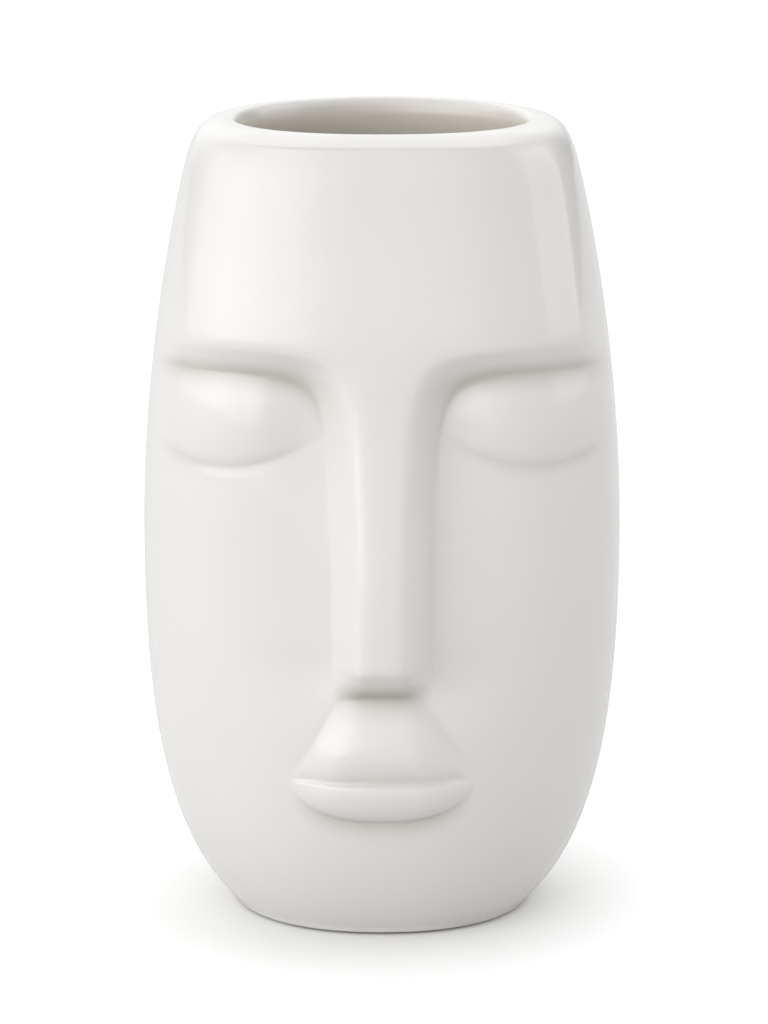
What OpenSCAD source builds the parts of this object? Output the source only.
// Ceramic face vase: a hollow glazed body with a calm mask in relief on its front,
// an unglazed foot ring seated in the base, and four foam pads under the ring.
// Millimetres, +Z up, the face looks along -Y, the pads rest on z = 0.

/* [Body outline] */
// Height of the vase from the pads to the crest of the lip
vase_h = 200; // [185:1:215]
// Half of the width at the widest place
belly_r = 59.8; // [56:0.1:64]
// Height of the widest place
belly_z = 94; // [88:0.5:100]
// Half of the width where the lip starts to roll over
rim_r = 47.7; // [45:0.1:50]
// Half of the width at the lowest glazed edge
foot_r = 36.9; // [36:0.1:39]
// How far the upper outline runs straight up from the belly, as a share
upper_pull = 0.52; // [0.4:0.01:0.6]
// How far the lower outline runs straight down from the belly, as a share
lower_pull = 0.387; // [0.3:0.01:0.5]
// How far the foot flares before it turns up, as a share of the lower height
foot_pull = 0.194; // [0.12:0.01:0.26]
// Outward run of the outline for each millimetre of rise at the foot
foot_flare = 1.133; // [0.9:0.01:1.3]
// Outward run of the outline for each millimetre of drop at the lip
rim_flare = 0.396; // [0.3:0.01:0.5]

/* [Section] */
// Depth of the front at the foot, as a share of the half width
front_low = 0.97; // [0.92:0.005:1]
// Depth of the front at the rim, as a share of the half width
front_top = 0.893; // [0.85:0.005:0.95]
// Depth of the back, as a share of the half width
back_depth = 0.972; // [0.93:0.005:1]
// Squareness of the front section at the foot, 2 is an ellipse
square_low = 2.17; // [2:0.01:2.4]
// Squareness of the front section at the forehead
square_top = 2.85; // [2.4:0.05:3.3]

/* [Lip and wall] */
// Plan width of the outer half of the rolled lip
lip_out = 7.3; // [6.5:0.1:8]
// Rise of the outer half of the lip
lip_rise = 7.7; // [6:0.1:9]
// Plan width of the inner half of the lip
lip_in = 2.1; // [1.6:0.1:3]
// Drop of the inner half of the lip
lip_drop = 4.5; // [3.5:0.1:6]
// Squareness of the roll of the lip, 2 is round
lip_crisp = 3.5; // [2:0.1:5]
// Wall thickness of the casting
wall = 6; // [5.4:0.1:7.5]
// Height of the cavity floor
cavity_z = 9; // [8:0.1:11]
// Rounding between the cavity wall and its floor
cavity_round = 9; // [6:0.5:12]

/* [Forehead, brow and nose] */
// Height of the upper edge of the brow step
brow_z = 152.4; // [148:0.1:156]
// Drop of the brow step towards the temples
brow_droop = 1.2; // [0:0.1:3]
// Half of the flat width along the nose
nose_half = 5.2; // [4.5:0.1:6]
// Width of the slope at each side of the nose
nose_slope = 6.3; // [5.5:0.1:7.5]
// Steepness of the brow step against the nose side, as a share
brow_steep = 0.77; // [0.65:0.01:0.95]
// Size of the sweep between the brow and the nose
brow_sweep = 13; // [10:0.5:16]
// Height of the front edge of the nose tip
tip_z = 74.3; // [72:0.1:77]
// Height of the slope under the nose tip
tip_run = 8; // [7:0.1:9]
// Rise of the forehead just above the brow
forehead_h = 3; // [2:0.1:3.6]
// Further rise from the brow down to the nose tip
nose_h = 6; // [4.5:0.1:6.8]
// Depth of the eye hollows under the brow
hollow_h = 4.4; // [3:0.1:5]
// Further depth towards the nose, most at the inner corner of the eye
corner_h = 3.4; // [2:0.1:4]

/* [Eyelids] */
// Height of the lowest point of the eyelid edge
lid_z = 121; // [119:0.1:123]
// Distance of that point from the middle
lid_x = 41; // [39:0.1:43]
// Rise of the eyelid edge towards the nose
lid_rise = 4.6; // [3.5:0.1:5.5]
// Height of the eyelid dome
lid_h = 2.5; // [1.8:0.1:3]
// Rise of the cheek just under the eyelid edge
cheek_h = 0.22; // [0.1:0.02:0.4]

/* [Mouth] */
// Height of the line between the lips
mouth_z = 45.4; // [43:0.1:47]
// Half of the width of the mouth
mouth_r = 22.4; // [20.5:0.1:24]
// Height of the upper lip above the line
upper_lip = 5.8; // [5:0.1:7]
// Height of the lower lip below the line
lower_lip = 11.1; // [9.5:0.1:12]
// How far the lower lip stands out beyond the muzzle above it
lip_step = 0.6; // [0.3:0.1:1]
// Rise of the muzzle under the nose
muzzle_h = 0.8; // [0.5:0.1:1.6]
// Further rise of the muzzle at the upper lip
muzzle_more = 3.4; // [2.8:0.1:4]

/* [Foot ring and pads] */
// Outer radius of the unglazed foot ring
ring_out = 33; // [31:0.1:33]
// Inner radius of the unglazed foot ring
ring_in = 27; // [25:0.1:28]
// Height of the seat that the ring stands against
seat_z = 2; // [1.6:0.1:2.4]
// Clearance between the ring and the sides of its groove
ring_gap = 0.3; // [0.2:0.05:0.4]
// Chamfer at the lower edges of the ring
ring_chamfer = 0.4; // [0.2:0.05:0.6]
// Thickness of the foam pads
pad_t = 0.5; // [0.4:0.05:0.8]
// Radius of the foam pads
pad_r = 2.4; // [2:0.1:2.5]
// Number of foam pads
pads = 4; // [3:1:6]
// How far the glazed edge stands clear of the underside of the ring
edge_lift = 0.1; // [0.1:0.05:0.3]

/* [Hidden] */
edge_round = 1;
edge_z = pad_t + edge_lift;
side_z = edge_z + edge_round;
rim_z = vase_h - lip_rise;
dome_rise = 1;
dome_z = seat_z + dome_rise;
ring_mid = (ring_out + ring_in) / 2;
groove_out = ring_out + ring_gap;
groove_in = ring_in - ring_gap;
recess_r = groove_in - dome_rise;
round_steps = 96;
pad_steps = 36;
// Share of a step that is rounded off at each of its ends
edge_soft = 0.18;
crease_soft = 0.035;
tip_soft = 0.12;
facet_soft = 0.3;
facet_end = 0.08;
lip_soft = 0.12;
top_soft = 0.3;
// Temples: the relief fades out between these shares of the half width
fade_from = 0.78;
fade_to = 0.97;
tip_end = tip_z - tip_run;
brow_low = brow_z - nose_slope / brow_steep;
// Heights at which the eye hollows begin, are full, fade and end
hollow_start = mouth_z + 5;
hollow_full = brow_low - 4;
hollow_fade = brow_z + 8;
hollow_end = rim_z - 7;
// The same for the depth towards the nose, which grows again up the eye
corner_start = mouth_z + 8;
corner_full = tip_z + 4;
corner_fade = brow_z - 2;
corner_end = brow_z + 12;
eye_start = lid_z - 25;
eye_full = brow_low - 8;
corner_from = 13;
corner_to = 43;
// Share of the eye corner's depth that the cheek keeps beside the nose
cheek_share = 0.75;
droop_from = 30;
droop_to = 56;
// The muzzle narrows towards the nose by this much for each millimetre of height
muzzle_taper = 0.6;
muzzle_flat = 10.5;
muzzle_flat_taper = 0.36;
muzzle_top = 65;
muzzle_fade = 3;
lip_top = mouth_z + upper_lip;
// Bow of the upper lip's edge and of the line between the lips
lip_bow = 0.0073;
line_bow = 0.0014;
lip_tuck = 1.2;
lip_ledge = 1;
ledge_run = 3.4;
tuck_full = 0.35;
// Roundness of the lower lip in plan, and of its front down to the lower edge
mouth_side = 2.3;
lower_round = 3.2;
lower_edge = 0.8;
blend = 0.7;
lid_half = 20;
lid_turn = 1.6;
// Reach of the eyelid to each side of its lowest point, and of the cheek under it
lid_from = 29;
lid_full = 11;
lid_end = 5;
lid_out = 15;
lid_fall = 0.3;
cheek_near = 4;
cheek_far = 26;
outline_steps = 48;
// Share of the upper height over which the outline leans at the lip's own angle
lip_lean = 0.03;

// Small helpers: a smooth step, a ramp with rounded ends, a limit between 0 and 1.
function unit(t) = max(0, min(1, t));
function smooth(a, b, t) = let (u = unit((t - a) / (b - a))) u * u * (3 - 2 * u);
function ramp(t, a, b) = (sqrt(t * t + a * a) - sqrt((t - 1) * (t - 1) + b * b) + 1) / 2;
function soft_min(a, b, r) = (a + b - sqrt((a - b) * (a - b) + r * r)) / 2;
function curve(a, b, c, d, t) =
  pow(1 - t, 3) * a + 3 * pow(1 - t, 2) * t * b + 3 * (1 - t) * t * t * c + t * t * t * d;

// Half width of the body against height: one curve from the foot to the belly and
// one from the belly to the lip.
upper_h = rim_z - belly_z;
lower_h_run = belly_z - edge_z;
outline = concat(
  [for (i = [0:outline_steps]) let (t = i / outline_steps)
    [curve(edge_z, edge_z + foot_pull * lower_h_run, belly_z - lower_pull * lower_h_run, belly_z, t),
     curve(foot_r, foot_r + foot_flare * foot_pull * lower_h_run, belly_r, belly_r, t)]],
  [for (i = [1:outline_steps]) let (t = i / outline_steps, end = lip_lean * upper_h)
    [curve(belly_z, belly_z + upper_pull * upper_h, rim_z - end, rim_z, t),
     curve(belly_r, belly_r, rim_r + rim_flare * end, rim_r, t)]]
);
function half_width(z) = lookup(z, outline);
function depth_share(z) = front_low + (front_top - front_low) * unit(z / vase_h);
function squareness(z) = square_low + (square_top - square_low) * smooth(0.25, 0.8, z / vase_h);

// Depth of the plain front at a distance x from the middle.
function front_depth(x, z, w) =
  let (n = squareness(z), q = unit(abs(x) / w))
  depth_share(z) * w * pow(1 - pow(q, n), 1 / n);

// Share of the forehead and nose plate: 1 on it, 0 beyond its slope.
function plate(ax, z) =
  let (
    beside = ax - nose_half,
    below = (brow_z - brow_droop * smooth(droop_from, droop_to, ax) - z) * brow_steep,
    across = soft_min(beside, below, brow_sweep) / nose_slope,
    past = (tip_z - z) / tip_run
  )
  (1 - ramp(across, edge_soft, crease_soft)) * (1 - ramp(past, tip_soft, tip_soft));

// Height of the plate and of the hollows beside it.
function plate_top(z) =
  forehead_h * (1 - smooth(brow_z - 2, rim_z - 2, z))
  + nose_h * (1 - smooth(tip_z - 2, brow_low - 4, z));
function hollow(z) =
  -hollow_h * smooth(hollow_start, hollow_full, z) * (1 - smooth(hollow_fade, hollow_end, z));
function corner(ax, z) =
  let (
    near = 1 - smooth(corner_from, corner_to, ax),
    eye = cheek_share + (1 - cheek_share) * smooth(eye_start, eye_full, z)
  )
  -corner_h * near * eye * smooth(corner_start, corner_full, z) * (1 - smooth(corner_fade, corner_end, z));

// The eyelid is a dome that ends in a curved edge; the cheek lifts a little below it.
function lid_edge(ax) =
  ax < lid_x
  ? lid_z + lid_rise * pow((ax - lid_x) / lid_half, 2)
  : lid_z + lid_turn * pow(2 * (ax - lid_x) / lid_half, 2);
function lid_reach(ax) =
  smooth(lid_x - lid_from, lid_x - lid_full, ax) * (1 - smooth(lid_x + lid_end, lid_x + lid_out, ax));
function lid(ax, z) =
  let (e = lid_edge(ax), u = (z - e) / (brow_low - e - 2), s = unit(2 * u))
  lid_h * (1 - (1 - s) * (1 - s)) * (1 - lid_fall * smooth(0.5, 1.05, u)) * lid_reach(ax);
function cheek(ax, z) =
  let (d = lid_edge(ax) - z)
  cheek_h * smooth(0, cheek_near, d) * (1 - smooth(cheek_near, cheek_far, d)) * lid_reach(ax);

// The muzzle is a flat-fronted wedge that widens from the nose to the upper lip. The lower
// lip follows its front and stands out a little beyond it.
function mouth_line(ax) = mouth_z - line_bow * ax * ax;
function muzzle_rise(ax, z) =
  let (
    zz = max(z, mouth_line(ax)),
    flat = muzzle_flat - muzzle_flat_taper * (zz - lip_top),
    edge = mouth_r - muzzle_taper * (zz - mouth_z),
    front = 1 - ramp((ax - flat) / (edge - flat), facet_soft, facet_end)
  )
  [front, front * (muzzle_h + muzzle_more * (1 - smooth(mouth_z + 5, muzzle_top + 1, z)))];
function upper_mouth(ax, z, m) =
  let (
    top = lip_top - lip_bow * ax * ax,
    tuck = ramp((top - z) / (top - mouth_line(ax)), lip_soft, lip_soft) * smooth(0, tuck_full, m[0])
  )
  m[1] * (1 - ramp((z - muzzle_top) / muzzle_fade, top_soft, top_soft)) - lip_tuck * tuck;
function lower_mouth(ax, z, m) =
  let (
    drop = max(0, mouth_line(ax) - z),
    side = unit(1 - pow(ax / mouth_r, mouth_side)),
    deep = unit(drop / (lower_lip * sqrt(side) + 0.01)),
    t = unit(drop / ledge_run)
  )
  (m[1] + lip_step * side) * pow(1 - pow(deep, lower_round), lower_edge)
  - lip_ledge * side * (1 - t) * (1 - t);
function mouth(ax, z) =
  let (k = smooth(-blend, blend, z - mouth_line(ax)), m = muzzle_rise(ax, z))
  lower_mouth(ax, z, m) * (1 - k) + upper_mouth(ax, z, m) * k;

// Whole relief: how far the surface stands out towards the viewer.
function relief(x, z, w) =
  let (
    ax = abs(x),
    p = plate(ax, z),
    low = hollow(z) + corner(ax, z),
    raised = max(p * (plate_top(z) - low), mouth(ax, z))
  )
  (raised + low + (lid(ax, z) + cheek(ax, z)) * (1 - p)) * (1 - smooth(fade_from, fade_to, ax / w));

// Columns: fixed distances near the middle, then closer and closer to the side.
mid_step = 2.35;
mid_cols = [for (i = [0:10]) i < 3 ? i * nose_half / 2 : nose_half + (i - 2) * mid_step];
side_cols = 14;
half_cols = len(mid_cols) + side_cols - 1;
back_cols = 31;
cols = 2 * half_cols + 1 + back_cols;
mid_end = mid_cols[len(mid_cols) - 1];
function col_x(i, w) =
  i < len(mid_cols)
  ? mid_cols[i]
  : mid_end + (w - mid_end) * sin(90 * (i - len(mid_cols) + 1) / side_cols);
function front_x(j, w) = j < half_cols ? -col_x(half_cols - j, w) : col_x(j - half_cols, w);
function back_angle(j) = 180 * (j - 2 * half_cols) / (back_cols + 1);

// One closed row of the outer surface.
function outer_row(z, w) = [for (j = [0:cols - 1])
  j <= 2 * half_cols
  ? let (x = front_x(j, w)) [x, -front_depth(x, z, w) - relief(x, z, w), z]
  : [w * cos(back_angle(j)), back_depth * w * sin(back_angle(j)), z]];

// Direction of each column, taken at the rim, for the lip, the cavity and the base.
angles = [for (j = [0:cols - 1])
  j <= 2 * half_cols
  ? let (x = front_x(j, rim_r)) atan2(-front_depth(x, rim_z, rim_r), x)
  : atan2(back_depth * sin(back_angle(j)), cos(back_angle(j)))];

// One row of an offset section: superellipse in front, ellipse behind.
function polar_point(a, w, f, b, n, z) =
  let (
    s = sin(a),
    c = abs(cos(a)),
    d = s < 0 ? f : b,
    m = s < 0 ? n : 2,
    r = pow(pow(c / w, m) + pow(abs(s) / d, m), -1 / m)
  )
  [r * cos(a), r * s, z];
function polar_row(w, f, b, n, z, step) =
  [for (j = [0:step:cols - 1]) polar_point(angles[j], w, f, b, n, z)];

// The lip goes on at the slope of the body, then rolls over the crest into the mouth.
// Above the forehead it has a clear edge and a flatter top.
lip_steps = 8;
lip_w = lip_out + lip_in;
bore_square = 2.1;
lip_edge = 0.7;
lip_edge_at = 0.375;
lip_crown = 1.6;
lip_front_from = 0.6;
lip_front_to = 0.9;
front_rim = depth_share(rim_z) * rim_r;
function lean(up) = 1 - up * rim_flare * lip_rise / rim_r;
function section_row(cut, f, z) =
  polar_row(rim_r * f - cut, front_rim * f - cut, back_depth * rim_r * f - cut,
    square_top + (bore_square - square_top) * cut / lip_w, z, 1);
function outer_lip_point(j, t) =
  let (
    side_up = pow(sin(90 * t), 2 / lip_crisp),
    side_cut = 1 - pow(max(0, cos(90 * t)), 2 / lip_crisp),
    front_cut = max(0, (t - lip_edge_at) / (1 - lip_edge_at)),
    front_up = lip_edge * min(1, t / lip_edge_at) + (1 - lip_edge) * (1 - pow(1 - front_cut, lip_crown)),
    share = smooth(lip_front_from, lip_front_to, -sin(angles[j])),
    up = side_up + (front_up - side_up) * share,
    cut = lip_out * (side_cut + (front_cut - side_cut) * share),
    n = square_top + (bore_square - square_top) * cut / lip_w,
    f = lean(up)
  )
  polar_point(angles[j], rim_r * f - cut, front_rim * f - cut, back_depth * rim_r * f - cut, n,
    rim_z + lip_rise * up);
function outer_lip_row(t) = [for (j = [0:cols - 1]) outer_lip_point(j, t)];
function inner_lip_row(t) =
  section_row(lip_out + lip_in * sin(90 * t), lean(1), vase_h - lip_drop * (1 - cos(90 * t)));

// The cavity follows the outside at the wall thickness, also most of the way into the
// eye hollows, thickens towards the lip and rounds into its floor.
bore_z = vase_h - lip_drop;
thick_run = 30;
hollow_share = 0.9;
function cavity_row(z, extra) =
  let (
    w = half_width(min(z, rim_z)),
    near = smooth(bore_z - thick_run, bore_z, z),
    cut = wall + (lip_w + rim_flare * lip_rise - wall) * near + extra,
    front = depth_share(z) * w + hollow_share * (hollow(z) + corner(0, z))
  )
  polar_row(w - cut, front - cut, back_depth * w - cut, bore_square, z, 2);
cavity_wall = bore_z - cavity_z - cavity_round;
cavity_levels = [for (t = [0.95, 0.86, 0.7, 0.5, 0.3, 0.14]) cavity_z + cavity_round + t * cavity_wall];
round_rows = [for (a = [0, 35, 62, 80, 90])
  cavity_row(cavity_z + cavity_round * (1 - sin(a)), cavity_round * (1 - cos(a)))];

// Heights of the outer rows: closer where the face changes quickly.
function span(a, b, n) = [for (i = [0:n - 1]) a + (b - a) * i / n];
levels = concat(
  [for (i = [0:6]) side_z + (mouth_z - lower_lip - 2 - side_z) * pow(i / 7, 1.3)],
  span(mouth_z - lower_lip - 2, mouth_z - 6, 4),
  span(mouth_z - 6, mouth_z + 1.5, 6),
  span(mouth_z + 1.5, lip_top + 1, 3),
  span(lip_top + 1, tip_end + 0.5, 5),
  span(tip_end + 0.5, tip_z + 1, 6),
  span(tip_z + 1, lid_z - 2, 5),
  span(lid_z - 2, lid_z + 4, 5),
  span(lid_z + 4, brow_low - 0.5, 5),
  span(brow_low - 0.5, brow_z + 1, 6),
  span(brow_z + 1, rim_z, 5)
);

function round_row(r, z) = [for (j = [0:2:cols - 1]) [r * cos(angles[j]), r * sin(angles[j]), z]];

// Rows in order: base from the middle outwards, outside, lip, cavity down to its floor.
base_rows = [
  round_row(recess_r, dome_z),
  round_row(groove_in, seat_z),
  round_row(groove_out, seat_z),
  round_row(groove_out, edge_z)
];
edge_w = half_width(side_z) - edge_round;
edge_row = polar_row(edge_w, front_low * edge_w, back_depth * edge_w, square_low, edge_z, 2);
side_rows = [for (z = levels) outer_row(z, half_width(z))];
lip_rows = concat(
  [for (i = [0:lip_steps]) outer_lip_row(i / lip_steps)],
  [for (i = [1:3]) inner_lip_row(i / 3)]
);
cavity_rows = concat([for (z = cavity_levels) cavity_row(z, 0)], round_rows);

rows = concat(base_rows, [edge_row], side_rows, lip_rows, cavity_rows);
sizes = [for (r = rows) len(r)];
function starts(k, at) = k == len(sizes) ? [] : concat([at], starts(k + 1, at + sizes[k]));
first = starts(0, 0);
points = concat([for (r = rows) each r], [[0, 0, dome_z], [0, 0, cavity_z]]);
base_mid = len(points) - 2;
floor_mid = len(points) - 1;

// Triangles between two rows of the same or of double length.
function even_band(a, b, n) = [for (j = [0:n - 1]) let (k = (j + 1) % n)
  each [[a + j, b + j, b + k], [a + j, b + k, a + k]]];
function wide_band(a, b, n) = [for (j = [0:n - 1]) let (k = (j + 1) % n)
  let (m = b + 2 * j + 1)
  each [[a + j, m - 1, m], [a + j, m, a + k], [a + k, m, b + 2 * k]]];
function thin_band(a, b, n) = [for (j = [0:n - 1]) let (k = (j + 1) % n)
  let (m = a + 2 * j + 1)
  each [[m - 1, b + j, m], [m, b + j, b + k], [m, b + k, a + 2 * k]]];
function band(i) =
  sizes[i] == sizes[i + 1] ? even_band(first[i], first[i + 1], sizes[i])
  : sizes[i] < sizes[i + 1] ? wide_band(first[i], first[i + 1], sizes[i])
  : thin_band(first[i], first[i + 1], sizes[i + 1]);
last = first[len(first) - 1];
few = sizes[0];
faces = concat(
  [for (j = [0:few - 1]) [base_mid, j, (j + 1) % few]],
  [for (i = [0:len(sizes) - 2]) each band(i)],
  [for (j = [0:few - 1]) [floor_mid, last + (j + 1) % few, last + j]]
);

// The part stands with the middle of its whole depth on the middle of the frame.
depths = [for (p = points) p[1]];
middle_y = (min(depths) + max(depths)) / 2;

module vase_body() {
  color("white")
  translate([0, -middle_y, 0])
  polyhedron(points = points, faces = faces, convexity = 6);
}

module foot_ring() {
  color("tan")
  translate([0, -middle_y, 0])
  rotate_extrude($fn = round_steps)
  polygon([
    [ring_in, seat_z],
    [ring_in, pad_t + ring_chamfer],
    [ring_in + ring_chamfer, pad_t],
    [ring_out - ring_chamfer, pad_t],
    [ring_out, pad_t + ring_chamfer],
    [ring_out, seat_z]
  ]);
}

module foot_pads() {
  color("gray")
  translate([0, -middle_y, 0])
  for (i = [0:pads - 1]) {
    rotate([0, 0, 360 * (i + 0.5) / pads])
    translate([ring_mid, 0, 0])
    cylinder(h = pad_t, r = pad_r, $fn = pad_steps);
  }
}

vase_body();
foot_ring();
foot_pads();
